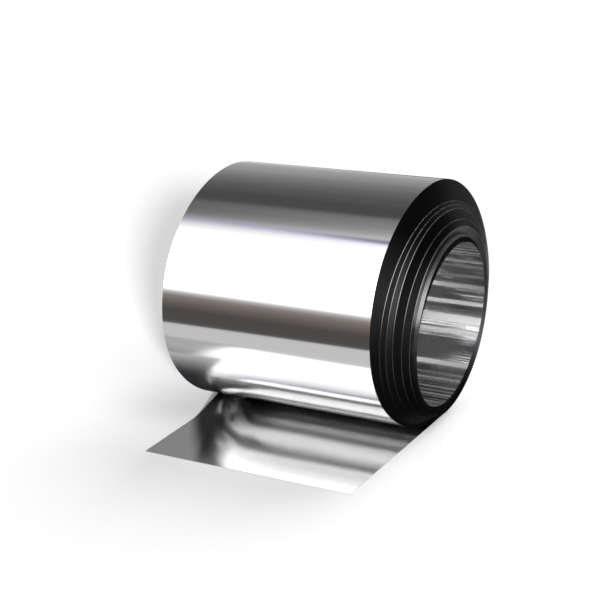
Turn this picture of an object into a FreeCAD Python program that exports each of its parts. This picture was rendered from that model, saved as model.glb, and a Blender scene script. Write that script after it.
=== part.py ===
import FreeCAD, Part
import math
import os
import Sketcher

# Stainless steel strip coil, millimetres.
# The strip is wound round the X axis. The coil lies on its side, and its last turn
# runs out flat under it, towards -Y, with a square-cut end.
# The origin is the centre of the bore, half way along the outer turns. +Z is up.
# The coil is wound loosely and has sagged a little, so its outside is an oval of four
# quarter ellipses, wider than it is high, and its lowest line lies a little behind the
# bore axis. The inner turns have slipped along the axis towards +X and hang lower than
# the outer ones. Each group leans out further at its top than at its foot, so the ends
# are lopsided cones with the turn edges standing as ridges.

SIZES = [
    ("strip_width", 200.0),
    ("strip_gauge", 0.4),
    ("tail_reach", 154.0),
    ("crown_height", 118.8),
    ("crown_offset", 8.5),
    ("foot_depth", 87.9),
    ("foot_offset", 9.5),
    ("front_reach", 111.3),
    ("front_level", 8.0),
    ("back_reach", 107.8),
    ("back_level", 17.5),
    ("bore_radius", 70.0),
    ("lip_half_width", 104.9),
    ("lip_half_height", 100.7),
    ("lip_rise", 15.0),
    ("lip_stand", 0.3),
    ("edge_step", 1.2),
    ("stack_depth", 8.0),
]

# Turn edges from the outside in: half width, half height, rise above the bore axis,
# how far the middle stands out before its own small step, and the two tilts in
# degrees: towards the tail side and towards the top.
EDGES = [
    ("one", 102.4, 93.0, 7.9, 2.7, 0.3, 1.5),
    ("two", 98.0, 90.9, 8.2, 4.4, 0.8, 2.6),
    ("three", 93.7, 88.1, 7.8, 6.9, 1.6, 3.3),
    ("four", 86.8, 82.8, 5.4, 10.8, 2.0, 3.9),
    ("five", 80.9, 79.1, 3.4, 14.0, 2.8, 4.2),
    ("six", 76.0, 75.2, 0.9, 14.3, 3.7, 4.4),
    ("seven", 72.6, 72.4, 0.3, 15.4, 3.9, 4.6),
]

doc = FreeCAD.newDocument("strip_coil")

sheet = doc.addObject("Spreadsheet::Sheet", "sizes")
named = list(SIZES)
for edge in EDGES:
    keys = ("half_width", "half_height", "rise", "stand", "swing", "lean")
    for key, value in zip(keys, edge[1:]):
        named.append(("edge_%s_%s" % (edge[0], key), value))
for row, (name, value) in enumerate(named, start=1):
    sheet.set("A%d" % row, name)
    sheet.set("B%d" % row, str(value))
    sheet.setAlias("B%d" % row, name)
doc.recompute()
size = dict(named)

body = doc.addObject("PartDesign::Body", "strip_coil")
body.Label = "strip_coil"
yz_plane = [f for f in body.Origin.OriginFeatures if f.Role == "YZ_Plane"][0]


def new_sketch(name, offset):
    """A sketch square to the coil axis. Its X is +Y, its Y is +Z, its normal is +X."""
    sk = body.newObject("Sketcher::SketchObject", name)
    sk.AttachmentSupport = (yz_plane, "")
    sk.MapMode = "FlatFace"
    sk.setExpression("AttachmentOffset.Base.z", offset)
    return sk


def edge_sketch(name, end, prefix, stand):
    """One turn edge: an ellipse, tilted, whose middle stands off the end face."""
    sk = body.newObject("Sketcher::SketchObject", name)
    sk.AttachmentSupport = (yz_plane, "")
    sk.MapMode = "FlatFace"
    tilt = "rotation(0; 0; 0)"
    if prefix != "lip":
        tilt = "rotation(0; sizes.%s_swing; sizes.%s_lean)" % (prefix, prefix)
    place = "vector(0 mm; sizes.%s_rise * 1 mm; (%s + %s) * 1 mm)" % (prefix, end, stand)
    sk.setExpression("AttachmentOffset", "placement(%s; %s)" % (place, tilt))
    wide = size[prefix + "_half_width"]
    high = size[prefix + "_half_height"]
    ellipse = Part.Ellipse(FreeCAD.Vector(wide, 0, 0), FreeCAD.Vector(0, high, 0), FreeCAD.Vector(0, 0, 0))
    sk.addGeometry(ellipse, False)
    sk.exposeInternalGeometry(0)
    sk.addConstraint(Sketcher.Constraint("Coincident", 0, 3, -1, 1))
    sk.addConstraint(Sketcher.Constraint("PointOnObject", 1, 1, -1))
    across = sk.addConstraint(Sketcher.Constraint("DistanceX", 1, 2, 1, 1, 2 * wide))
    sk.setExpression("Constraints[%d]" % across, "2 * sizes.%s_half_width" % prefix)
    up = sk.addConstraint(Sketcher.Constraint("DistanceY", 2, 2, 2, 1, 2 * high))
    sk.setExpression("Constraints[%d]" % up, "2 * sizes.%s_half_height" % prefix)
    return sk


def quarter(sk, centre, wide, high, place):
    """A quarter of a level ellipse: place 0 is back and top, 1 front and top, and so on."""
    start = place * math.pi / 2
    long_end = FreeCAD.Vector(centre.x + wide, centre.y, 0)
    short_end = FreeCAD.Vector(centre.x, centre.y + high, 0)
    if high > wide:
        long_end, short_end = short_end, FreeCAD.Vector(centre.x - wide, centre.y, 0)
        start = start - math.pi / 2
    ellipse = Part.Ellipse(long_end, short_end, centre)
    geo = sk.addGeometry(Part.ArcOfEllipse(ellipse, start, start + math.pi / 2), False)
    sk.exposeInternalGeometry(geo)
    sk.addConstraint(Sketcher.Constraint("Vertical" if high > wide else "Horizontal", geo + 1))
    return geo


def hold(sk, geo, point, along, name, below=False):
    """Keeps a point of the sketch at a named distance from the bore axis."""
    ends = (geo, point, -1, 1) if below else (-1, 1, geo, point)
    index = sk.addConstraint(Sketcher.Constraint(along, *ends, size[name]))
    sk.setExpression("Constraints[%d]" % index, "sizes." + name)


# The outside of the wound part: four quarter ellipses that meet level at the crown and
# the foot, and upright at the front and the back.
normal = FreeCAD.Vector(0, 0, 1)
outline = new_sketch("outline", "-sizes.strip_width / 2")
quarters = [
    ("crown_offset", "back_level", "back_reach", "crown_height", 1, 1),
    ("crown_offset", "front_level", "front_reach", "crown_height", -1, 1),
    ("foot_offset", "front_level", "front_reach", "foot_depth", -1, -1),
    ("foot_offset", "back_level", "back_reach", "foot_depth", 1, -1),
]
arcs = []
for place, (offset, level, reach, height, side, rise) in enumerate(quarters):
    centre = FreeCAD.Vector(size[offset], size[level], 0)
    wide = abs(side * size[reach] - size[offset])
    high = abs(rise * size[height] - size[level])
    arcs.append(quarter(outline, centre, wide, high, place))
for here, after in zip(arcs, arcs[1:] + arcs[:1]):
    outline.addConstraint(Sketcher.Constraint("Coincident", here, 2, after, 1))
for geo, (offset, level, reach, height, side, rise) in zip(arcs, quarters):
    hold(outline, geo, 3, "DistanceX", offset)
    hold(outline, geo, 3, "DistanceY", level)
hold(outline, arcs[0], 1, "DistanceX", "back_reach")
hold(outline, arcs[0], 1, "DistanceY", "back_level")
hold(outline, arcs[1], 1, "DistanceX", "crown_offset")
hold(outline, arcs[1], 1, "DistanceY", "crown_height")
hold(outline, arcs[2], 1, "DistanceX", "front_reach", below=True)
hold(outline, arcs[2], 1, "DistanceY", "front_level")
hold(outline, arcs[3], 1, "DistanceX", "foot_offset")
hold(outline, arcs[3], 1, "DistanceY", "foot_depth", below=True)
doc.recompute()

wound = body.newObject("PartDesign::Pad", "wound_strip")
wound.Profile = outline
wound.setExpression("Length", "sizes.strip_width")
wound.Reversed = False
doc.recompute()
wound_volume = body.Shape.Volume

# The tail: the strip's own thickness, from under the coil to its square-cut end.
tail = new_sketch("tail_section", "-sizes.strip_width / 2")
floor_z = -size["foot_depth"]
corners = [
    FreeCAD.Vector(size["foot_offset"], floor_z, 0),
    FreeCAD.Vector(size["foot_offset"], floor_z + size["strip_gauge"], 0),
    FreeCAD.Vector(-size["tail_reach"], floor_z + size["strip_gauge"], 0),
    FreeCAD.Vector(-size["tail_reach"], floor_z, 0),
]
for start, end in zip(corners, corners[1:] + corners[:1]):
    tail.addGeometry(Part.LineSegment(start, end), False)
for here, after in ((0, 1), (1, 2), (2, 3), (3, 0)):
    tail.addConstraint(Sketcher.Constraint("Coincident", here, 2, after, 1))
tail.addConstraint(Sketcher.Constraint("Vertical", 0))
tail.addConstraint(Sketcher.Constraint("Horizontal", 1))
tail.addConstraint(Sketcher.Constraint("Vertical", 2))
tail.addConstraint(Sketcher.Constraint("Horizontal", 3))
driven = [
    (("DistanceX", -1, 1, 0, 1, size["foot_offset"]), "sizes.foot_offset"),
    (("DistanceX", 2, 1, -1, 1, size["tail_reach"]), "sizes.tail_reach"),
    (("DistanceY", 0, 1, -1, 1, size["foot_depth"]), "sizes.foot_depth"),
    (("DistanceY", 0, 1, 0, 2, size["strip_gauge"]), "sizes.strip_gauge"),
]
for rule, formula in driven:
    index = tail.addConstraint(Sketcher.Constraint(*rule))
    tail.setExpression("Constraints[%d]" % index, formula)
doc.recompute()
run = body.newObject("PartDesign::Pad", "tail_run")
run.Profile = tail
run.setExpression("Length", "sizes.strip_width")
run.Reversed = False
doc.recompute()
print("tail adds", round(body.Shape.Volume - wound_volume))


# Each end has the same stack of slopes and steps, because every turn is one strip
# wide: on the +X end it is added, on the -X end it is cut out. The stack starts a
# little behind the end face, so that no edge of it lies behind its own base.
for end, plane, kind in (
    ("near", "sizes.strip_width / 2", "AdditiveLoft"),
    ("far", "-sizes.strip_width / 2", "SubtractiveLoft"),
):
    base = edge_sketch(end + "_base", plane, "lip", "-sizes.stack_depth")
    sections = [edge_sketch(end + "_lip", plane, "lip", "sizes.lip_stand")]
    for edge in EDGES:
        prefix = "edge_" + edge[0]
        stand = "sizes.%s_stand" % prefix
        tag = "%s_%s" % (end, edge[0])
        sections.append(edge_sketch(tag + "_inner", plane, prefix, stand))
        sections.append(edge_sketch(tag + "_outer", plane, prefix, stand + " + sizes.edge_step"))
    before = body.Shape.Volume
    stack = body.newObject("PartDesign::" + kind, end + "_turn_edges")
    stack.Profile = base
    stack.Sections = sections
    stack.Ruled = True
    doc.recompute()
    print(end, "volume", round(before), "to", round(body.Shape.Volume), stack.State)

bore = new_sketch("bore", "-sizes.strip_width / 2 - 1")
bore.addGeometry(Part.Circle(FreeCAD.Vector(0, 0, 0), normal, size["bore_radius"]), False)
bore.addConstraint(Sketcher.Constraint("Coincident", 0, 3, -1, 1))
index = bore.addConstraint(Sketcher.Constraint("Radius", 0, size["bore_radius"]))
bore.setExpression("Constraints[%d]" % index, "sizes.bore_radius")
before = body.Shape.Volume
hole = body.newObject("PartDesign::Pocket", "bore_pocket")
hole.Profile = bore
hole.Type = "ThroughAll"
hole.Reversed = True
body.Tip = hole
doc.recompute()
taken = before - body.Shape.Volume
through = math.pi * size["bore_radius"] ** 2 * size["strip_width"]
print("bore takes", round(taken), "of", round(through))
print("volume", round(body.Shape.Volume), "solids", len(body.Shape.Solids))
print("centre of mass", body.Shape.Solids[0].CenterOfMass)

for obj in doc.Objects:
    if "Invalid" in obj.State or "Error" in obj.State:
        raise RuntimeError("%s failed: %s" % (obj.Name, obj.State))
for obj in (body,):
    if obj.Shape.isNull() or not obj.Shape.isValid() or len(obj.Shape.Solids) != 1:
        raise RuntimeError("%s has no valid single solid" % obj.Label)
if abs(taken - through) > 2000.0:
    raise RuntimeError("the bore isn't cut through")

os.makedirs("parts", exist_ok=True)
for obj in (body,):
    obj.Shape.exportStep(os.path.join("parts", obj.Label + ".step"))
    print("wrote", obj.Label)
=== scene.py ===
# %% [markdown]
# A coil of stainless steel strip.
# One long strip is wound on itself, lies on its side and lets its last turn run out flat
# on the floor. The whole look comes from polished metal: what the eye sees on it is the
# room around it, drawn out into bands along the coil. So the shape is made first, with
# real turn edges on its ends, then the metal, and last a small studio of cards that the
# metal reflects.

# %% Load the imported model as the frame
import math
import bmesh
import bpy
from mathutils import Matrix, Vector


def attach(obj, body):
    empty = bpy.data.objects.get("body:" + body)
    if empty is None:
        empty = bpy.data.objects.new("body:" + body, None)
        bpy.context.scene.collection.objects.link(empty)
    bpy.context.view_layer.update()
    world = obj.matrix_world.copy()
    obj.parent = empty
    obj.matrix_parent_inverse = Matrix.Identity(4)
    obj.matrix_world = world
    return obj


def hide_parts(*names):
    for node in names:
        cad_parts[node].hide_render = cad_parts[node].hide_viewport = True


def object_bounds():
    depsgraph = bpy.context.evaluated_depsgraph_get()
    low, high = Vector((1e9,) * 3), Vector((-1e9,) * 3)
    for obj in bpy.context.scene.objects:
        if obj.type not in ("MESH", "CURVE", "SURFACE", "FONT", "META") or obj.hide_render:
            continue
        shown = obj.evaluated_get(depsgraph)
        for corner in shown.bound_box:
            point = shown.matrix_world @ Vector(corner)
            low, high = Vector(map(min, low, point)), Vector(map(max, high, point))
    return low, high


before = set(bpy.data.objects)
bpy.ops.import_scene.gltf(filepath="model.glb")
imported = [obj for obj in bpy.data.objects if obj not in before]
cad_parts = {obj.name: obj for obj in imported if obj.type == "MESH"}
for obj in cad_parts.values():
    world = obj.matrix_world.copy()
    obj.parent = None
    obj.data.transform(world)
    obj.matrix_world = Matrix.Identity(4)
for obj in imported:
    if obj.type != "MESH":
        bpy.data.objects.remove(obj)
cad_low, cad_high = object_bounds()
print("CAD box", [round(v, 4) for v in (*cad_low, *cad_high)])

# %% [markdown]
# Sizes are in millimetres, as a fabricator would write them, and are turned to metres
# where a vertex is placed. X runs along the coil's axis, -Y is the front, where the tail
# runs out, and Z is up. The coil's outside is not a circle: a loosely wound coil sags, so
# its crown, front, foot and back each have a place of their own, in Y and Z. What the
# frame's box gives is taken from it, so that the looks follow the construction.

# %% Sizes of the strip and the coil
MM = 0.001
box_low = [round(v / MM, 3) for v in cad_low]
box_high = [round(v / MM, 3) for v in cad_high]
HALF_WIDTH = -box_low[0]
STRIP_WIDTH = 2 * HALF_WIDTH
GAUGE = 0.4
TAIL_TIP = box_low[1]
CROWN = (8.5, box_high[2])
FRONT = (-111.3, 8.0)
FOOT = (9.5, box_low[2])
BACK = (box_high[1], 17.5)
FLOOR = FOOT[1] * MM
print("coil", round(BACK[0] - FRONT[0], 1), "mm wide,", round(CROWN[1] - FOOT[1], 1), "mm high")

# %% [markdown]
# The coil's outside could be a scaled cylinder, but its four quarters differ. So one
# function gives the place of a point on it, from an angle round the axis and a place
# across the strip. Later whole loops of points are laid on the outside that way.

# %% A loop on the coil's outside


def outside(angle, across):
    """A point of the coil's outside: four quarter ellipses that share their tangents."""
    c, s = math.cos(angle), math.sin(angle)
    end_y, end_z = CROWN if s >= 0 else FOOT
    side_y, side_z = BACK if c >= 0 else FRONT
    y = end_y + abs(side_y - end_y) * c
    z = side_z + abs(end_z - side_z) * s
    # The strip is a spiral: each turn starts on the floor at the foot and comes back to
    # it one gauge higher, on top of the tail.
    turned = ((angle - 1.5 * math.pi) / (2 * math.pi)) % 1.0
    lift = GAUGE * turned
    return Vector((across, y - lift * c, z - lift * s)) * MM


print("front of the outside", [round(v, 4) for v in outside(math.pi, 0.0)])

# %% [markdown]
# The turns have slipped along the axis in groups, most at the top, so an edge is an oval
# that stands off the end of the coil and leans outwards. Flat rings could be turned into
# place one by one, but the shell has to stay closed, so each point is worked out from its
# angle instead. On the hidden end the same groups have drawn in, and that end is dished.

# %% A loop on a turn's edge
STEP_MIDDLE = 0.75
STEP_SWING = 0.5
STEP_LEAST = 0.35
STEP_MOST = 1.1


def turn_edge(angle, end, oval, inset):
    """A point of a turn's edge at one end of the coil, set in by a step."""
    half_width, half_height, rise, stand, swing, lean = oval
    y = half_width * math.cos(angle)
    up = half_height * math.sin(angle)
    # The steps get smaller towards the foot.
    share = min(max(STEP_MIDDLE + STEP_SWING * math.sin(angle), STEP_LEAST), STEP_MOST)
    out = stand - inset * share - y * math.tan(math.radians(swing)) + up * math.tan(math.radians(lean))
    # On the left end no turn reaches past the outer ones.
    if end < 0:
        out = max(out, 0.0)
    return Vector((end + out, y, up + rise)) * MM


print("steps from", STEP_LEAST, "of their inset at the foot to", STEP_MOST, "at the top")

# %% [markdown]
# Five groups stand out as thin ridges, each showing a sliver of the strip's polished
# outside, and the innermost turns step out one after another, which makes the bright rim
# of the bore. Each oval is: half width, half height, rise over the bore's axis, stand off
# the end, swing towards the front and lean of the top, both in degrees. The ridges' sizes
# come from a least squares fit of ovals to the edges in the photograph. The steps of the
# rim lie between that fit and the bore, and are listed.

# %% The turn edges, from the outside in
RIDGES = [
    (102.8, 93.7, 8.65, 3.28, 0.50, 3.23),
    (98.0, 90.9, 8.49, 5.46, 1.02, 3.39),
    (93.7, 88.1, 8.40, 7.97, 1.76, 3.54),
    (86.8, 82.8, 5.36, 11.94, 1.92, 4.02),
    (80.9, 79.1, 3.63, 15.00, 2.75, 4.44),
]
RIM_STEPS = [
    (76.0, 75.1, 0.95, 13.80, 4.00, 4.20),
    (75.0, 74.5, 1.10, 14.55, 3.95, 4.40),
    (73.9, 73.6, 1.30, 15.30, 3.90, 4.65),
    (72.5, 72.6, 1.60, 15.95, 3.85, 4.90),
]
BORE_EDGE = (70.0, 70.0, 0.0, 15.85, 2.80, 6.20)
RIDGE_STEP = 0.40
RIDGE_BACK = 0.22
RIM_STEP = 0.75
OUTSIDE_RADIUS = 106.5
FINISHES = ("strip", "edges", "margin", "inner", "gap_shade")


def turns_in(oval):
    """How many turns lie outside this edge."""
    return (OUTSIDE_RADIUS - (oval[0] + oval[1]) / 2) / GAUGE


def end_loops():
    """The loops of one end from the outside in: oval, inset, turns, and the finish before it."""
    loops = []
    for oval in RIDGES:
        # The outermost turn of each group stands proud of both its neighbours.
        inner = (oval[0] - GAUGE, oval[1] - GAUGE) + oval[2:]
        loops.append((oval, RIDGE_STEP, turns_in(oval), "edges"))
        loops.append((oval, 0.0, turns_in(oval), "margin"))
        loops.append((inner, 0.0, turns_in(inner), "margin"))
        loops.append((inner, RIDGE_BACK, turns_in(inner), "margin"))
    ledge = "edges"
    for oval in RIM_STEPS:
        loops.append((oval, RIM_STEP, turns_in(oval), ledge))
        loops.append((oval, 0.0, turns_in(oval), "strip"))
        ledge = "margin"
    # The ring inside the rim takes the painted shade of the gap.
    loops.append((BORE_EDGE, 0.0, turns_in(BORE_EDGE), "gap_shade"))
    return loops


near_end = end_loops()
print("turns", round(turns_in(BORE_EDGE)), "in", len(near_end), "loops on each end")

# %% [markdown]
# In the narrow wedge where the tail leaves the coil, the two mirrors would pass light to
# and fro without end, and painted shade darkens them: the base colour goes dark there. It
# could be a gradient in the material, but it follows the gap between two curved sheets,
# so its share is worked out for each vertex and kept on the mesh. It is strongest at the
# left edge, where the strip lifts off first.

# %% Painted shade in the nip, on the coil
# Each pair is where the painted shade starts and where it is full, in millimetres.
COIL_NIP_SHADE_LEFTWARDS = (-65.0, -81.0)
COIL_NIP_SHADE_DOWNWARDS = (-50.0, -58.0)
COIL_NIP_SHADE_UPWARDS = (-70.0, -64.0)
COIL_NIP_SHADE_FORWARDS = (-30.0, -40.0)
COIL_NIP_SHADE = 0.13
COIL_NIP_SHADE_MORE_AT_LEFT = 0.62


def fade(value, start, full):
    """0 at the start, 1 when full and beyond, with a soft start and a soft end."""
    share = min(max((value - start) / (full - start), 0.0), 1.0)
    return share * share * (3.0 - 2.0 * share)


def painted_shade_on_coil(place):
    """The share of painted nip shade at a point of the coil's outside."""
    x, y, z = place / MM
    low = fade(z, *COIL_NIP_SHADE_DOWNWARDS) * fade(z, *COIL_NIP_SHADE_UPWARDS)
    share = COIL_NIP_SHADE + COIL_NIP_SHADE_MORE_AT_LEFT * fade(x, *COIL_NIP_SHADE_LEFTWARDS)
    return share * low * fade(y, *COIL_NIP_SHADE_FORWARDS)


print("oil at the left foot", round(painted_shade_on_coil(outside(math.radians(224), -90.0)), 2))

# %% [markdown]
# The wound part is one closed shell. It could be a solid of revolution made with Spin,
# but neither its outside nor its turn edges are round about one centre. Instead one loop
# of edges is extruded again and again: along the outside, in over the turn edges of one
# end, back through the bore and out over the other end, until it meets itself. After each
# extrude the new loop is laid on its own oval. Every vertex remembers its angle, so the
# loops stay in step.

# %% Start the shell with one loop of edges
POINTS_AROUND = 360


def deselect_all():
    """Leaves nothing selected, because an operator works on all that is selected."""
    if bpy.context.mode != "OBJECT":
        bpy.ops.object.mode_set(mode="OBJECT")
    bpy.ops.object.select_all(action="DESELECT")


deselect_all()
# The circle only brings the angles: each point is then laid on the left edge of the outside.
bpy.ops.mesh.primitive_circle_add(vertices=POINTS_AROUND, radius=HALF_WIDTH * MM, fill_type="NOTHING",
                                  rotation=(math.pi / 2, 0, math.pi / 2))
coil = bpy.context.active_object
coil.name = "wound_coil"
bpy.ops.object.transform_apply(location=True, rotation=True, scale=True)
bpy.ops.object.mode_set(mode="EDIT")
bpy.ops.mesh.select_all(action="SELECT")
shell = bmesh.from_edit_mesh(coil.data)
# The third layer holds the share of painted shade in the nip.
for name in ("around", "turns", "nip_shade"):
    shell.verts.layers.float.new(name)
around = shell.verts.layers.float["around"]
nip_shade = shell.verts.layers.float["nip_shade"]
for vert in shell.verts:
    vert[around] = math.atan2(vert.co.z, vert.co.y) % (2 * math.pi)
    vert.co = outside(vert[around], -HALF_WIDTH)
    vert[nip_shade] = painted_shade_on_coil(vert.co)
bmesh.update_edit_mesh(coil.data)
print("first loop", len(shell.verts), "points")

# %% Extrude it along the outside, over the near end, through the bore and over the far end
# The first stations lie close together, because the painted nip shade changes quickly there.
STATIONS = (-76.0, -70.0, -65.0, -60.0, HALF_WIDTH)


def next_loop(place, turns, finish):
    """Extrudes the selected loop, lays the new one in place and finishes the faces between."""
    mesh = bmesh.from_edit_mesh(coil.data)
    known = len(mesh.faces)
    bpy.ops.mesh.extrude_region_move()
    mesh = bmesh.from_edit_mesh(coil.data)
    around = mesh.verts.layers.float["around"]
    inwards = mesh.verts.layers.float["turns"]
    nip_shade = mesh.verts.layers.float["nip_shade"]
    for vert in mesh.verts:
        if vert.select:
            vert.co = place(vert[around])
            vert[inwards] = turns
            # Only the strip's outside takes the painted shade of the nip.
            vert[nip_shade] = painted_shade_on_coil(vert.co) if finish == "strip" else 0.0
    mesh.faces.ensure_lookup_table()
    for face in mesh.faces[known:]:
        face.material_index = FINISHES.index(finish)
    bmesh.update_edit_mesh(coil.data)


for across in STATIONS:
    next_loop(lambda a: outside(a, across), 0.0, "strip")
for oval, inset, turns, finish in near_end:
    next_loop(lambda a: turn_edge(a, HALF_WIDTH, oval, inset), turns, finish)
# Going back over the far end, the faces before a loop have the finish that lies after it.
finish_before = "inner"
for oval, inset, turns, finish in reversed(near_end):
    next_loop(lambda a: turn_edge(a, -HALF_WIDTH, oval, inset), turns, finish_before)
    finish_before = finish
next_loop(lambda a: outside(a, -HALF_WIDTH), 0.0, finish_before)
print("shell", len(STATIONS) + 2 * len(near_end) + 1, "loops extruded")

# %% Close the shell and turn its faces outwards
MERGE_WITHIN = 0.02
SHELL_SHARP_FROM = math.radians(12)
bpy.ops.mesh.select_all(action="SELECT")
bpy.ops.mesh.remove_doubles(threshold=MERGE_WITHIN * MM)
bpy.ops.mesh.normals_make_consistent(inside=False)
bpy.ops.object.mode_set(mode="OBJECT")
bpy.ops.object.shade_smooth_by_angle(angle=SHELL_SHARP_FROM)
print("wound_coil", len(coil.data.vertices), "vertices", len(coil.data.polygons), "faces")

# %% [markdown]
# The tail is the same strip, laid flat. A plain plate would do for its shape, but a
# mirror shows the least wave at once, and a sheet that has been wound keeps some. So it
# is made from a fine grid, with waves a fraction of a millimetre high near its free end
# and with a left edge that curls up to the coil's underside. Then it gets its thickness.

# %% How the tail rises
LEAVES_COIL = -41.0
BEND_STARTS = -85.0
BEND_LENGTH = 13.0
SLOPE = 0.2
STEEPENS = 0.00155
CURL_LEFTWARDS = (-68.0, -98.0)
WAVES_START = -80.0
WAVES_GROW = 40.0
HUG_GAP = 0.1


def tail_rise(y):
    """How far the curled edge has come up from the floor on its way to the coil."""
    run = max(y - BEND_STARTS, 0.0)
    bent = min(run, BEND_LENGTH)
    beyond = max(run - BEND_LENGTH, 0.0)
    return SLOPE / 2 * bent ** 2 / BEND_LENGTH + SLOPE * beyond + STEEPENS * beyond ** 2


def tail_wave(x, y):
    """Two slow waves that cross, together about a third of a millimetre high at most."""
    first = 1.0 + math.sin(x / 17.0 + y / 31.0)
    second = 1.0 + math.sin(x / 41.0 - y / 23.0 + 1.0)
    return 0.07 * first + 0.10 * second


def under_coil(y):
    """The height of the coil's underside over the tail, without the spiral's small lift."""
    across = (FOOT[0] - y) / (FOOT[0] - FRONT[0])
    return FRONT[1] - (FRONT[1] - FOOT[1]) * math.sqrt(max(1.0 - across ** 2, 0.0))


def tail_top(x, y, curl):
    """The height of the tail's upper face, which never enters the floor or the coil."""
    free = min(max((WAVES_START - y) / WAVES_GROW, 0.0), 1.0)
    z = FOOT[1] + GAUGE + free * tail_wave(x, y) + curl * tail_rise(y)
    if y < FOOT[0]:
        z = min(z, under_coil(y) + HUG_GAP)
    return max(z, FOOT[1] + GAUGE)


print("curl at the coil", round(tail_rise(LEAVES_COIL), 1), "mm")

# %% The tail and its painted nip shade
# Painted shade in the nip between the tail and the coil, a darker base colour there.
TAIL_NIP_SHADE_LEFTWARDS = (-58.0, -76.0)
TAIL_NIP_SHADE_REACH = 11.0
TAIL_NIP_SHADE_REACH_MORE_AT_LEFT = 10.0
TAIL_NIP_SHADE_FULL = 3.0
TAIL_NIP_SHADE = 0.25
TAIL_NIP_SHADE_MORE_AT_LEFT = 0.58
GRID_ACROSS = 110
GRID_ALONG = 66
TAIL_SHARP_FROM = math.radians(30)


def painted_shade_on_tail(x, y, z):
    """The share of painted nip shade at a point of the tail, from the gap up to the coil."""
    left = fade(x, *TAIL_NIP_SHADE_LEFTWARDS)
    reach = TAIL_NIP_SHADE_REACH + TAIL_NIP_SHADE_REACH_MORE_AT_LEFT * left
    share = TAIL_NIP_SHADE + TAIL_NIP_SHADE_MORE_AT_LEFT * left
    return share * fade(under_coil(y) - z, reach, TAIL_NIP_SHADE_FULL)


deselect_all()
bpy.ops.mesh.primitive_grid_add(x_subdivisions=GRID_ACROSS, y_subdivisions=GRID_ALONG, size=1.0)
tail = bpy.context.active_object
tail.name = "strip_tail"
# Each vertex of the tail keeps its share of painted nip shade.
nip_shade_layer = tail.data.attributes.new("nip_shade", "FLOAT", "POINT")
for vert in tail.data.vertices:
    x = vert.co.x * STRIP_WIDTH
    curl = fade(x, *CURL_LEFTWARDS)
    tail_end = FOOT[0] + (LEAVES_COIL - FOOT[0]) * curl
    y = TAIL_TIP + (vert.co.y + 0.5) * (tail_end - TAIL_TIP)
    z = tail_top(x, y, curl)
    vert.co = Vector((x, y, z)) * MM
    nip_shade_layer.data[vert.index].value = painted_shade_on_tail(x, y, z)
bpy.ops.object.mode_set(mode="EDIT")
bpy.ops.mesh.select_all(action="SELECT")
bpy.ops.mesh.extrude_region_move(TRANSFORM_OT_translate={"value": (0, 0, -GAUGE * MM)})
bpy.ops.mesh.select_all(action="SELECT")
bpy.ops.mesh.normals_make_consistent(inside=False)
bpy.ops.object.mode_set(mode="OBJECT")
bpy.ops.object.shade_smooth_by_angle(angle=TAIL_SHARP_FROM)
print("strip_tail", len(tail.data.polygons), "faces")

# %% [markdown]
# The imported solid keeps its place in the simulation, but it is not shown: the two pieces
# stand for it. Both ride on its body.

# %% Both pieces stand for the CAD solid
for piece in (coil, tail):
    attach(piece, "root")
    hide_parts("strip_coil")
print("pieces", coil.name, tail.name)

# %% [markdown]
# Every finish below is made of shader nodes. Three helpers keep that short: one turns a
# colour as it is picked on a screen to the linear values that shaders work in, one adds a
# node with its settings and links, and one gives a colour ramp its stops.

# %% Helpers for colours, nodes and ramps


def colour(hex_code):
    """An sRGB hex colour as the linear values that the shaders want."""
    parts = [int(hex_code[i:i + 2], 16) / 255 for i in (1, 3, 5)]
    linear = [p / 12.92 if p <= 0.04045 else ((p + 0.055) / 1.055) ** 2.4 for p in parts]
    return (*linear, 1.0)


def grey(value, tint=(1.0, 1.0, 1.0)):
    """A grey in linear values, where 1 is white and lights go above it, with a tint."""
    return (value * tint[0], value * tint[1], value * tint[2], 1.0)


def add_node(tree, kind, settings=(), inputs=()):
    """Adds a node, sets its properties, and fills or links its inputs."""
    node = tree.nodes.new(kind)
    for name, value in dict(settings).items():
        setattr(node, name, value)
    for name, value in dict(inputs).items():
        if isinstance(value, bpy.types.NodeSocket):
            tree.links.new(value, node.inputs[name])
        else:
            node.inputs[name].default_value = value
    return node


def set_stops(ramp, stops):
    """Gives a colour ramp its stops: pairs of a place from 0 to 1 and a colour."""
    elements = ramp.color_ramp.elements
    while len(elements) > 1:
        elements.remove(elements[-1])
    elements[0].position, elements[0].color = stops[0]
    for place, value in stops[1:]:
        elements.new(place).color = value


print("mid grey in linear values", [round(v, 3) for v in colour("#808080")])

# %% [markdown]
# The strip is bright annealed stainless steel: cold rolled between polished rolls, so it
# is nearly a mirror, with fine lines from the rolls that run along the strip. Those lines
# spread a reflection across the strip, which Anisotropic does: the tangent runs round the
# coil's axis, and the rotation of a quarter turns the spread to lie across it. The grain
# is a noise squeezed across the strip: it changes every 0.4 mm over the width and hardly
# at all along the length. Real roll lines are finer and would not show, so they are drawn
# coarser. In the nip by the tail the same steel takes a darker tone, which is painted shade.

# %% Bright annealed strip
strip = bpy.data.materials.new("bright_annealed_strip")
strip.use_nodes = True
tree = strip.node_tree
shader = tree.nodes["Principled BSDF"]
shader.inputs["Metallic"].default_value = 1.0
shader.inputs["Anisotropic"].default_value = 0.88
shader.inputs["Anisotropic Rotation"].default_value = 0.25
place = add_node(tree, "ShaderNodeTexCoord")
nip_shade_share = add_node(tree, "ShaderNodeAttribute", {"attribute_name": "nip_shade"})
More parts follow.
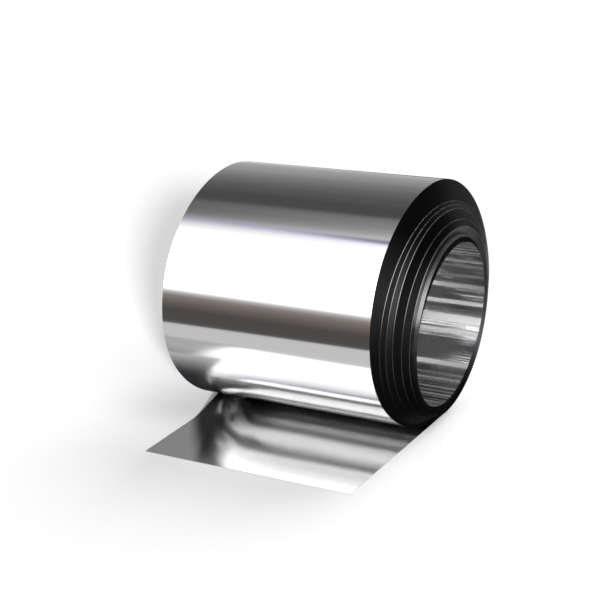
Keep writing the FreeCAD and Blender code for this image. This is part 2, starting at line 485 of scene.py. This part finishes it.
# Painted shade in the nip: the base colour goes from #DDDDDD to #303030 with the share.
painted_tone = add_node(tree, "ShaderNodeMix", {"data_type": "RGBA"}, {
    0: nip_shade_share.outputs["Fac"], 6: colour("#DDDDDD"), 7: colour("#303030")})
squeeze = add_node(tree, "ShaderNodeMapping", inputs={
    "Vector": place.outputs["Object"], "Scale": (2500.0, 14.0, 14.0)})
grain = add_node(tree, "ShaderNodeTexNoise", inputs={
    "Vector": squeeze.outputs["Vector"], "Scale": 1.0, "Detail": 3.0})
gloss = add_node(tree, "ShaderNodeMapRange", inputs={
    "Value": grain.outputs["Fac"], "To Min": 0.10, "To Max": 0.14})
way = add_node(tree, "ShaderNodeTangent", {"direction_type": "RADIAL", "axis": "X"})
tree.links.new(painted_tone.outputs[2], shader.inputs["Base Color"])
tree.links.new(gloss.outputs["Result"], shader.inputs["Roughness"])
tree.links.new(way.outputs["Tangent"], shader.inputs["Tangent"])
print(strip.name, len(tree.nodes), "nodes")

# %% [markdown]
# The ends are the slit edges of some ninety turns. Each edge was sheared, so it is dull,
# and the gaps between the turns lie in shade: the dark base colour is that dull metal with
# painted shade of the gaps, and fine rings. Its tone is a ramp over the cosine of the angle
# round the axis, and that ramp is painted shade: darkest at the top and the foot and paler
# at the sides, most at the back. The rings follow the turns, so the mesh carries the
# number of turns from the outside at each loop, and the pattern is a wave on that number.
# One wave is three turns, because single turns are finer than the render.

# %% Slit edges
TURNS_IN_A_WAVE = 3
# Painted shade: darkest at the top and the foot, paler at the sides, most at the back.
EDGE_PAINTED_SHADE = [
    (0.0, "#464646"), (0.125, "#343434"), (0.275, "#1E1E1E"), (0.5, "#181818"),
    (0.725, "#202020"), (0.875, "#484848"), (1.0, "#A0A0A0"),
]
edges = bpy.data.materials.new("slit_turn_edges")
edges.use_nodes = True
tree = edges.node_tree
shader = tree.nodes["Principled BSDF"]
shader.inputs["Metallic"].default_value = 1.0
shader.inputs["Roughness"].default_value = 0.42
place = add_node(tree, "ShaderNodeTexCoord")
parts = add_node(tree, "ShaderNodeSeparateXYZ", inputs={0: place.outputs["Object"]})
around = add_node(tree, "ShaderNodeMath", {"operation": "ARCTAN2"}, {
    0: parts.outputs["Z"], 1: parts.outputs["Y"]})
sideways = add_node(tree, "ShaderNodeMath", {"operation": "COSINE"}, {0: around.outputs[0]})
# The ramp over this cosine is painted shade.
side_shade = add_node(tree, "ShaderNodeMapRange", inputs={"Value": sideways.outputs[0], "From Min": -1.0})
painted_tone = add_node(tree, "ShaderNodeValToRGB", inputs={0: side_shade.outputs["Result"]})
set_stops(painted_tone, [(at, colour(shade)) for at, shade in EDGE_PAINTED_SHADE])
count = add_node(tree, "ShaderNodeAttribute", {"attribute_name": "turns"})
phase = add_node(tree, "ShaderNodeMath", {"operation": "MULTIPLY"}, {
    0: count.outputs["Fac"], 1: 2 * math.pi / TURNS_IN_A_WAVE})
wave = add_node(tree, "ShaderNodeMath", {"operation": "SINE"}, {0: phase.outputs[0]})
ridge = add_node(tree, "ShaderNodeBump", inputs={
    "Height": wave.outputs[0], "Strength": 0.25, "Distance": 0.0001})
tree.links.new(painted_tone.outputs["Color"], shader.inputs["Base Color"])
tree.links.new(ridge.outputs["Normal"], shader.inputs["Normal"])
print(edges.name, len(tree.nodes), "nodes")

# %% [markdown]
# Where a group of turns stands out, the margin of its outermost turn shows. It is the
# same steel as the strip, but the shear and the handling have dulled it, so its roughness
# is that of satin steel, with nicks about 4 mm apart. Its tone is a ramp over the height,
# and that ramp is painted light: brightest at the top, where the turns stand out furthest,
# and going dark towards the foot, where they lie close.

# %% Bright margin of the turns that stand out
# Painted light: bright at the top, dark towards the foot, over the height.
MARGIN_PAINTED_LIGHT = [
    (0.0, "#404040"), (0.30, "#505050"), (0.55, "#808080"), (0.75, "#A8A8A8"), (1.0, "#FCFCFC"),
]
margin = bpy.data.materials.new("bright_turn_margin")
margin.use_nodes = True
tree = margin.node_tree
shader = tree.nodes["Principled BSDF"]
shader.inputs["Metallic"].default_value = 1.0
place = add_node(tree, "ShaderNodeTexCoord")
parts = add_node(tree, "ShaderNodeSeparateXYZ", inputs={0: place.outputs["Object"]})
level = add_node(tree, "ShaderNodeMapRange", inputs={
    "Value": parts.outputs["Z"], "From Min": -0.09, "From Max": 0.12})
painted_tone = add_node(tree, "ShaderNodeValToRGB", inputs={0: level.outputs["Result"]})
set_stops(painted_tone, [(at, colour(shade)) for at, shade in MARGIN_PAINTED_LIGHT])
nicks = add_node(tree, "ShaderNodeTexNoise", inputs={
    "Vector": place.outputs["Object"], "Scale": 260.0, "Detail": 2.0})
dulled = add_node(tree, "ShaderNodeMapRange", inputs={
    "Value": nicks.outputs["Fac"], "To Min": 0.34, "To Max": 0.5})
tree.links.new(painted_tone.outputs["Color"], shader.inputs["Base Color"])
tree.links.new(dulled.outputs["Result"], shader.inputs["Roughness"])
print(margin.name, len(tree.nodes), "nodes")

# %% [markdown]
# The bore is the inside of the first turn. It is as bright as the outside, but the
# mandrel has rubbed dull scuffs into it, and they run along the axis, because that is how
# a coil is pushed on and off. Each scuff is a rise in roughness at its own angle: 0 is
# the back of the bore and 90 the top. Like the strip it spreads a reflection along the
# axis, so a scuff catches the light as one long streak.

# %% Inner turn with scuffs from the mandrel
# Each scuff is its middle and width in degrees, and how dull it is, from 0 to 1. It fades
# out over the foot, a share of its width, on each side of its middle.
SCUFFS = [
    (30, 1.5, 0.6), (23.5, 3.5, 0.4), (14.5, 3, 0.35), (6, 4, 1.0), (-7, 3.5, 0.9),
    (-19, 6.5, 1.0), (-28, 3.5, 0.75), (-53, 4.5, 0.95), (-62, 2.5, 0.4), (-67, 3, 0.5),
]
SCUFF_FOOT = 0.75
inner = bpy.data.materials.new("inner_turn_strip")
inner.use_nodes = True
tree = inner.node_tree
shader = tree.nodes["Principled BSDF"]
shader.inputs["Base Color"].default_value = colour("#F0F0F0")
shader.inputs["Metallic"].default_value = 1.0
shader.inputs["Anisotropic"].default_value = 0.8
shader.inputs["Anisotropic Rotation"].default_value = 0.25
place = add_node(tree, "ShaderNodeTexCoord")
parts = add_node(tree, "ShaderNodeSeparateXYZ", inputs={0: place.outputs["Object"]})
around = add_node(tree, "ShaderNodeMath", {"operation": "ARCTAN2"}, {
    0: parts.outputs["Z"], 1: parts.outputs["Y"]})
turned = add_node(tree, "ShaderNodeMapRange", inputs={
    "Value": around.outputs[0], "From Min": -math.pi / 2, "From Max": math.pi / 2})
scuffed = add_node(tree, "ShaderNodeValToRGB", inputs={0: turned.outputs["Result"]})
stops = [(0.0, grey(0))]
for middle, width, dullness in sorted(SCUFFS):
    for away, share in ((-SCUFF_FOOT, 0), (0, 1), (SCUFF_FOOT, 0)):
        stops.append(((middle + away * width + 90) / 180, grey(dullness * share)))
set_stops(scuffed, stops)
gloss = add_node(tree, "ShaderNodeMapRange", inputs={
    "Value": scuffed.outputs["Color"], "To Min": 0.05, "To Max": 0.55})
way = add_node(tree, "ShaderNodeTangent", {"direction_type": "RADIAL", "axis": "X"})
tree.links.new(gloss.outputs["Result"], shader.inputs["Roughness"])
tree.links.new(way.outputs["Tangent"], shader.inputs["Tangent"])
print(inner.name, len(SCUFFS), "scuffs in", len(stops), "stops")

# %% [markdown]
# Between the rim and the bore the last turns stand apart, and the gap between them lies
# in shade. Modelling each gap would take a mesh of its own for a line a millimetre wide,
# so the ring is finished with painted shade instead: near black, rough and with no gloss
# at all.

# %% Painted shade of the open gap outside the innermost turn
gap_shade = bpy.data.materials.new("painted_shade_of_gap")
gap_shade.use_nodes = True
shader = gap_shade.node_tree.nodes["Principled BSDF"]
# Near black: painted shade of the gap between the last turns.
shader.inputs["Base Color"].default_value = colour("#0A0A0A")
shader.inputs["Roughness"].default_value = 0.8
shader.inputs["Specular IOR Level"].default_value = 0.0
print(gap_shade.name)

# %% Give the pieces their finishes, in the order that FINISHES lists
for finish in (strip, edges, margin, inner, gap_shade):
    coil.data.materials.append(finish)
tail.data.materials.append(strip)
print("finishes", [slot.name for slot in coil.data.materials])

# %% [markdown]
# The floor is a sheet of matt white paper. Without it the coil would cast no shadow and
# seem to hang. It is lit until it is as white as the background behind it, so that only
# the soft shadow shows.

# %% Floor
deselect_all()
bpy.ops.mesh.primitive_plane_add(size=12.0, location=(0, 0, FLOOR))
floor = bpy.context.active_object
floor.name = "floor"
paper = bpy.data.materials.new("white_paper_floor")
paper.use_nodes = True
tree = paper.node_tree
tree.nodes.clear()
dull = add_node(tree, "ShaderNodeBsdfDiffuse", inputs={"Color": colour("#F2F2F2")})
add_node(tree, "ShaderNodeOutputMaterial", inputs={"Surface": dull.outputs[0]})
floor.data.materials.append(paper)
print("floor at", round(FLOOR, 4))

# %% [markdown]
# Polished metal is lit by what it reflects. A few softboxes would give hard-edged
# patches, so a long arch stands over the coil instead, like the light tent of a product
# photographer. It runs from a soft grey behind the coil over a dark roof to a wide white
# in front. Its brightness depends mostly on the angle round the coil's axis, so its bands
# are drawn along the whole coil. The camera does not see it, and it lights nothing else.

# %% The shape of the light tent
TENT_RADIUS = 3.0
TENT_LENGTH = 14.0
deselect_all()
bpy.ops.mesh.primitive_cylinder_add(vertices=180, radius=TENT_RADIUS, depth=TENT_LENGTH,
                                    end_fill_type="NOTHING", rotation=(0, math.pi / 2, 0))
tent = bpy.context.active_object
tent.name = "light_tent"
bpy.ops.object.transform_apply(location=True, rotation=True, scale=True)
bpy.ops.object.mode_set(mode="EDIT")
bpy.ops.mesh.select_all(action="SELECT")
bpy.ops.mesh.bisect(plane_co=(0, 0, FLOOR + 0.001), plane_no=(0, 0, 1), clear_inner=True)
bpy.ops.object.mode_set(mode="OBJECT")
tent.visible_camera = False
tent.visible_diffuse = False
tent.visible_shadow = False
print("light_tent", len(tent.data.polygons), "faces")

# %% [markdown]
# The bands are listed as an angle in degrees, from 0 low behind the coil over 90 overhead
# to 180 low in front, and a brightness. Their first tones were read from the photograph,
# by following its bands from the coil's shape back to the tent, and were then changed.
# The stops are the places where the brightness bends. The left end of the coil sees
# a darker roof than the right end, so there is a list for each, and they share the white
# and what is below.

# %% The brightness of the tent's bands
VIOLET = (1.0, 0.95, 1.14)
BLUE = (0.92, 0.9, 1.3)
BROWN = (1.0, 0.84, 0.75)
BELOW = [
    (108, grey(1.6)), (118, grey(2.25)), (132, grey(3.8)), (159, grey(3.8)), (162, grey(1.6)),
    (164.5, grey(0.68, (1, 0.96, 1.0))), (167.5, grey(0.32, (1, 0.9, 0.8))),
    (172, grey(0.23, BROWN)), (177, grey(0.145, BROWN)), (180, grey(0.11, (1, 0.88, 0.84))),
]
LEFT_BANDS = [
    (0, grey(0.52)), (29, grey(0.375)), (43, grey(0.22)), (57, grey(0.122)), (66, grey(0.092)),
    (75, grey(0.078)), (76.5, grey(0.14)), (90, grey(0.18)), (94, grey(0.33, VIOLET)),
    (97, grey(0.58, VIOLET)), (100, grey(0.85)), (104, grey(1.25)),
] + BELOW
RIGHT_BANDS = [
    (0, grey(0.50)), (15, grey(0.44)), (43, grey(0.18)), (57, grey(0.112)), (66, grey(0.09)),
    (75, grey(0.084)), (76.5, grey(0.25)), (84, grey(0.32)), (90, grey(0.46)),
    (96.5, grey(0.80)), (97.6, grey(0.82, BLUE)), (99.8, grey(1.0, BLUE)), (104, grey(1.5)),
] + BELOW
SEAM = [(96.4, grey(0)), (97.6, grey(1)), (99.8, grey(1)), (100.8, grey(0))]
print("bands", len(LEFT_BANDS), "left", len(RIGHT_BANDS), "right")

# %% The cloth of the tent and its bands
cloth = bpy.data.materials.new("light_tent_bands")
cloth.use_nodes = True
cloth.cycles.emission_sampling = "NONE"
tree = cloth.node_tree
tree.nodes.clear()
where = add_node(tree, "ShaderNodeTexCoord")
axes = add_node(tree, "ShaderNodeSeparateXYZ", inputs={0: where.outputs["Object"]})
lifted = add_node(tree, "ShaderNodeMath", {"operation": "ADD"}, {0: axes.outputs["Z"], 1: -FLOOR})
angle = add_node(tree, "ShaderNodeMath", {"operation": "ARCTAN2"}, {
    0: lifted.outputs[0], 1: axes.outputs["Y"]})
span = add_node(tree, "ShaderNodeMath", {"operation": "DIVIDE"}, {0: angle.outputs[0], 1: math.pi})
left_tones = add_node(tree, "ShaderNodeValToRGB", inputs={0: span.outputs[0]})
set_stops(left_tones, [(degrees / 180, value) for degrees, value in LEFT_BANDS])
right_tones = add_node(tree, "ShaderNodeValToRGB", inputs={0: span.outputs[0]})
set_stops(right_tones, [(degrees / 180, value) for degrees, value in RIGHT_BANDS])
rightness = add_node(tree, "ShaderNodeMapRange", inputs={
    "Value": axes.outputs["X"], "From Min": -2.15, "From Max": -1.35})
bands = add_node(tree, "ShaderNodeMix", {"data_type": "RGBA"}, {
    0: rightness.outputs["Result"], 6: left_tones.outputs["Color"], 7: right_tones.outputs["Color"]})
print("folds and seam go over", bands.name)

# %% Folds and a seam in the cloth
# Folds run along the cloth, so the bands are a little uneven.
drawn = add_node(tree, "ShaderNodeCombineXYZ", inputs={0: axes.outputs["X"], 1: angle.outputs[0]})
stretch = add_node(tree, "ShaderNodeMapping", inputs={
    "Vector": drawn.outputs[0], "Scale": (0.8, 26.0, 1.0)})
folds = add_node(tree, "ShaderNodeTexNoise", inputs={
    "Vector": stretch.outputs["Vector"], "Scale": 1.0, "Detail": 2.0})
depth = add_node(tree, "ShaderNodeMapRange", inputs={
    "Value": folds.outputs["Fac"], "From Min": 0.25, "From Max": 0.75, "To Min": 0.86, "To Max": 1.14})
# A thin dark seam runs beside the white, but only towards the right.
seam = add_node(tree, "ShaderNodeValToRGB", inputs={0: span.outputs[0]})
set_stops(seam, [(degrees / 180, value) for degrees, value in SEAM])
reach = add_node(tree, "ShaderNodeMapRange", {"interpolation_type": "SMOOTHSTEP"}, {
    "Value": axes.outputs["X"], "From Min": -1.75, "From Max": -1.35})
dark = add_node(tree, "ShaderNodeMath", {"operation": "MULTIPLY"}, {
    0: reach.outputs["Result"], 1: seam.outputs["Color"]})
left_light = add_node(tree, "ShaderNodeMapRange", inputs={
    "Value": dark.outputs[0], "To Min": 1.0, "To Max": 0.10})
level = add_node(tree, "ShaderNodeMath", {"operation": "MULTIPLY"}, {
    0: depth.outputs["Result"], 1: left_light.outputs["Result"]})
light = add_node(tree, "ShaderNodeEmission", inputs={
    "Color": bands.outputs[2], "Strength": level.outputs[0]})
add_node(tree, "ShaderNodeOutputMaterial", inputs={"Surface": light.outputs[0]})
tent.data.materials.append(cloth)
print(cloth.name, len(tree.nodes), "nodes")

# %% [markdown]
# Cards lie on the floor round the coil, outside the picture, and are seen only in the
# metal. The brown one gives the dark band below the white, the black ones keep the pale
# room out of the turn edges, the grey and bright ones give the tail and the coil's foot
# their tones, and the shade card takes the floor out of the coil's left foot. An object
# with a matt black face would still catch some light, so each card is a plain emission
# of its own tone, and its edges may fade in where a hard line would show.

# %% Helpers for cards
CARD_LIFT = 0.0004
CARD_LAYER = 0.0002


def card_finish(name, value, across=None, along=None, up=None):
    """A flat colour that the metal reflects. It may fade in along X, Y or Z."""
    finish = bpy.data.materials.new(name)
    finish.use_nodes = True
    finish.cycles.emission_sampling = "NONE"
    tree = finish.node_tree
    tree.nodes.clear()
    surface = add_node(tree, "ShaderNodeEmission", inputs={"Color": value, "Strength": 1.0})
    where = add_node(tree, "ShaderNodeTexCoord")
    axes = add_node(tree, "ShaderNodeSeparateXYZ", inputs={0: where.outputs["Object"]})
    for axis, limits in (("X", across), ("Y", along), ("Z", up)):
        if limits:
            amount = add_node(tree, "ShaderNodeMapRange", {"interpolation_type": "SMOOTHSTEP"}, {
                "Value": axes.outputs[axis], "From Min": limits[0], "From Max": limits[1]})
            clear = add_node(tree, "ShaderNodeBsdfTransparent")
            surface = add_node(tree, "ShaderNodeMixShader", inputs={
                0: amount.outputs["Result"], 1: clear.outputs[0], 2: surface.outputs[0]})
    add_node(tree, "ShaderNodeOutputMaterial", inputs={"Surface": surface.outputs[0]})
    return finish


def only_in_metal(card):
    """Hides a card from all but reflections, and keeps it off the list of pieces."""
    card.visible_camera = False
    card.visible_diffuse = False
    card.visible_shadow = False


def floor_card(name, low, high, layer, value, turn=0.0, **fades):
    """A card between two corners on the floor, turned about its middle by some degrees."""
    deselect_all()
    centre = ((low[0] + high[0]) / 2, (low[1] + high[1]) / 2, FLOOR + CARD_LIFT + CARD_LAYER * layer)
    bpy.ops.mesh.primitive_plane_add(size=1.0, location=centre, rotation=(0, 0, math.radians(turn)))
    card = bpy.context.active_object
    card.name = name
    card.scale = (high[0] - low[0], high[1] - low[1], 1.0)
    bpy.ops.object.transform_apply(location=True, rotation=True, scale=True)
    card.data.materials.append(card_finish(name, value, **fades))
    only_in_metal(card)


# %% Cards on the floor
floor_card("brown_card", (-3.65, -3.5), (2.95, -0.468), 1, grey(0.095, (1, 0.93, 0.91)), turn=-15)
floor_card("black_card", (0.20, -0.45), (3.0, 3.0), 2, grey(0.02))
floor_card("near_black_card", (0.101, -0.30), (0.20, 0.13), 2, grey(0.02))
floor_card("dark_card", (-1.0, 0.45), (0.17, 3.0), 3, grey(0.03))
floor_card("grey_card", (-1.2, -0.60), (0.7, -0.23), 0, grey(0.72), along=(-0.232, -0.25))
floor_card("left_grey_card", (-0.60, -0.25), (-0.12, -0.15), 4, grey(0.52),
           across=(-0.122, -0.140), along=(-0.25, -0.23))
floor_card("bright_card", (-0.145, -0.232), (0.12, -0.1545), 3, grey(1.7), across=(-0.140, -0.110))
floor_card("shade_card", (-0.60, -0.30), (-0.101, 0.20), 5, grey(0.03, (1, 0.95, 1.1)),
           across=(-0.097, -0.106), along=(-0.19, -0.085))

# %% The small flag that stands beside the left foot
FOOT_FLAG_HEIGHT = 0.045
FOOT_FLAG_LENGTH = 0.135
deselect_all()
bpy.ops.mesh.primitive_plane_add(size=1.0, location=(-0.102, -0.0275, FLOOR + FOOT_FLAG_HEIGHT / 2),
                                 rotation=(0, math.pi / 2, 0))
foot_flag = bpy.context.active_object
foot_flag.name = "foot_flag"
foot_flag.scale = (FOOT_FLAG_HEIGHT, FOOT_FLAG_LENGTH, 1.0)
bpy.ops.object.transform_apply(location=True, rotation=True, scale=True)
foot_flag.data.materials.append(card_finish("foot_flag", grey(0.03), along=(-0.092, -0.068),
                                            up=(-0.046, -0.066)))
only_in_metal(foot_flag)
print("foot_flag", [round(size, 3) for size in foot_flag.dimensions])

# %% [markdown]
# The bore shows what stands beyond the coil's far end, mirrored many times in its wall. A
# short round sleeve there keeps the wall grey, and a bright card behind it is what the
# scuffs catch. The tail and the coil's outside would mirror them as well. So the sleeve
# is dark only on its inside, and the card is clear until light has been reflected more
# than once, which happens in the bore.

# %% The sleeve beside the far end
SLEEVE_RADIUS = 0.086
SLEEVE_LENGTH = 0.10
SLEEVE_GAP = 0.0005
deselect_all()
bpy.ops.mesh.primitive_cylinder_add(
    vertices=120, radius=SLEEVE_RADIUS, depth=SLEEVE_LENGTH, end_fill_type="NOTHING",
    location=(-HALF_WIDTH * MM - SLEEVE_GAP - SLEEVE_LENGTH / 2, 0, 0), rotation=(0, math.pi / 2, 0))
bore_sleeve = bpy.context.active_object
bore_sleeve.name = "bore_sleeve"
bpy.ops.object.transform_apply(location=True, rotation=True, scale=True)
lining = card_finish("bore_sleeve", grey(0.10))
tree = lining.node_tree
facing = add_node(tree, "ShaderNodeNewGeometry")
two_tone = add_node(tree, "ShaderNodeMix", {"data_type": "RGBA"}, {
    0: facing.outputs["Backfacing"], 6: grey(0.30), 7: grey(0.10)})
tree.links.new(two_tone.outputs[2], tree.nodes["Emission"].inputs["Color"])
bore_sleeve.data.materials.append(lining)
only_in_metal(bore_sleeve)
print("bore_sleeve", len(bore_sleeve.data.polygons), "faces")

# %% The bright card behind the sleeve
BORE_CARD_HEIGHT = 0.34
BORE_CARD_LENGTH = 0.5
REFLECTED_ONCE = 1.5
deselect_all()
bpy.ops.mesh.primitive_plane_add(size=1.0, location=(-0.36, 0, 0.0825), rotation=(0, math.pi / 2, 0))
bore_card = bpy.context.active_object
bore_card.name = "bore_card"
bore_card.scale = (BORE_CARD_HEIGHT, BORE_CARD_LENGTH, 1.0)
bpy.ops.object.transform_apply(location=True, rotation=True, scale=True)
glare = card_finish("bore_card", grey(10.0))
tree = glare.node_tree
rays = add_node(tree, "ShaderNodeLightPath")
deep = add_node(tree, "ShaderNodeMath", {"operation": "GREATER_THAN"}, {
    0: rays.outputs["Glossy Depth"], 1: REFLECTED_ONCE})
clear = add_node(tree, "ShaderNodeBsdfTransparent")
shown = add_node(tree, "ShaderNodeMixShader", inputs={
    0: deep.outputs[0], 1: clear.outputs[0], 2: tree.nodes["Emission"].outputs[0]})
tree.links.new(shown.outputs[0], tree.nodes["Material Output"].inputs["Surface"])
bore_card.data.materials.append(glare)
only_in_metal(bore_card)
print("bore_card", [round(size, 2) for size in bore_card.dimensions])

# %% [markdown]
# The turn edges face to the right, where the tent and the floor are pale. A black flag,
# a quarter of a drum round the coil, stands there and keeps them dark. It is a cylinder
# that is bisected twice, because that leaves a curved sheet of exactly the wanted angle.

# %% The black flag round the right end
FLAG_FRONT = math.radians(-20)
FLAG_BACK = math.radians(72)
FLAG_RADIUS = 0.9
FLAG_HEIGHT = 0.5
FLAG_CENTRE = (HALF_WIDTH * MM, 0, FLOOR + FLAG_HEIGHT / 2)
deselect_all()
bpy.ops.mesh.primitive_cylinder_add(vertices=72, radius=FLAG_RADIUS, depth=FLAG_HEIGHT,
                                    end_fill_type="NOTHING", location=FLAG_CENTRE)
flag = bpy.context.active_object
flag.name = "black_flag"
bpy.ops.object.transform_apply(location=True, rotation=True, scale=True)
bpy.ops.object.mode_set(mode="EDIT")
for towards in ((math.sin(FLAG_FRONT), -math.cos(FLAG_FRONT), 0),
                (-math.sin(FLAG_BACK), math.cos(FLAG_BACK), 0)):
    bpy.ops.mesh.select_all(action="SELECT")
    bpy.ops.mesh.bisect(plane_co=FLAG_CENTRE, plane_no=towards, clear_outer=True)
bpy.ops.object.mode_set(mode="OBJECT")
flag.data.materials.append(card_finish("black_flag", grey(0.02)))
only_in_metal(flag)
print("black_flag", len(flag.data.polygons), "faces")

# %% [markdown]
# The floor has lights of its own, which the metal does not show. The first stands low,
# just to the right of the camera, so the coil's shadow shows as a soft rim along its left
# side. The second is high behind the coil and darkens the floor in front of it a little.
# The third is high on the right and softens both shadows. They are suns, because the
# floor is large and has to be lit evenly.

# %% Lights for the floor


def floor_light(name, azimuth, elevation, strength, spread):
    """A sun that shines from an azimuth (0 is the front, 90 the right) and an elevation."""
    deselect_all()
    bpy.ops.object.light_add(type="SUN", rotation=(
        math.radians(90 - elevation), 0, math.radians(azimuth)))
    lamp = bpy.context.active_object
    lamp.name = name
    lamp.data.energy = strength
    lamp.data.angle = math.radians(spread)
    lamp.visible_glossy = False


floor_light("light_beside_camera", 41.5, 16.5, 4.5, 5)
floor_light("light_behind", 167, 46, 2.0, 38)
floor_light("light_from_right", 72, 54, 0.75, 26)

# %% [markdown]
# The room is white for the camera, which makes the background white without adding any
# light. For the floor and for the metal it is a dim grey: what the metal shows is the
# tent and the cards, and they keep their contrast.

# %% The room
world = bpy.data.worlds.new("room")
bpy.context.scene.world = world
world.use_nodes = True
tree = world.node_tree
tree.nodes.clear()
rays = add_node(tree, "ShaderNodeLightPath")
seen = add_node(tree, "ShaderNodeBackground", inputs={"Color": colour("#FFFFFF"), "Strength": 1.0})
dim = add_node(tree, "ShaderNodeBackground", inputs={"Color": grey(0.10), "Strength": 1.0})
mix = add_node(tree, "ShaderNodeMixShader", inputs={
    0: rays.outputs["Is Camera Ray"], 1: dim.outputs[0], 2: seen.outputs[0]})
add_node(tree, "ShaderNodeOutputWorld", inputs={"Surface": mix.outputs[0]})
bpy.context.scene.view_settings.view_transform = "Standard"
# Light goes round the inside of the bore several times before it leaves.
bpy.context.scene.cycles.glossy_bounces = 12
print(world.name, len(tree.nodes), "nodes")

# %% [markdown]
# The camera stands in front and to the right, a little above, with a long lens and a
# slight roll, as the photograph was taken. Its place is worked out from those angles: a
# direction back from the coil, a distance, and a small step aside and up.

# %% Camera
AZIMUTH = math.radians(33.018)
ELEVATION = math.radians(20.028)
ROLL = math.radians(-4.646)
DISTANCE = 1.35915
ASIDE = -0.02716
ABOVE = -0.00511
AIM = Vector((0, 0, 0.015))
back = Vector((math.sin(AZIMUTH) * math.cos(ELEVATION), -math.cos(AZIMUTH) * math.cos(ELEVATION),
               math.sin(ELEVATION)))
right = (-back).cross(Vector((0, 0, 1))).normalized()
up = right.cross(-back)
across = right * math.cos(ROLL) + up * math.sin(ROLL)
upright = up * math.cos(ROLL) - right * math.sin(ROLL)
lens = bpy.data.cameras.new("camera")
lens.lens = 94.05
lens.sensor_width = 36.0
camera = bpy.data.objects.new("camera", lens)
bpy.context.collection.objects.link(camera)
camera.matrix_world = Matrix((
    (across.x, upright.x, back.x, 0), (across.y, upright.y, back.y, 0),
    (across.z, upright.z, back.z, 0), (0, 0, 0, 1)))
camera.location = back * DISTANCE + right * ASIDE + up * ABOVE + AIM
bpy.context.scene.camera = camera
print("camera", [round(v, 3) for v in camera.location])
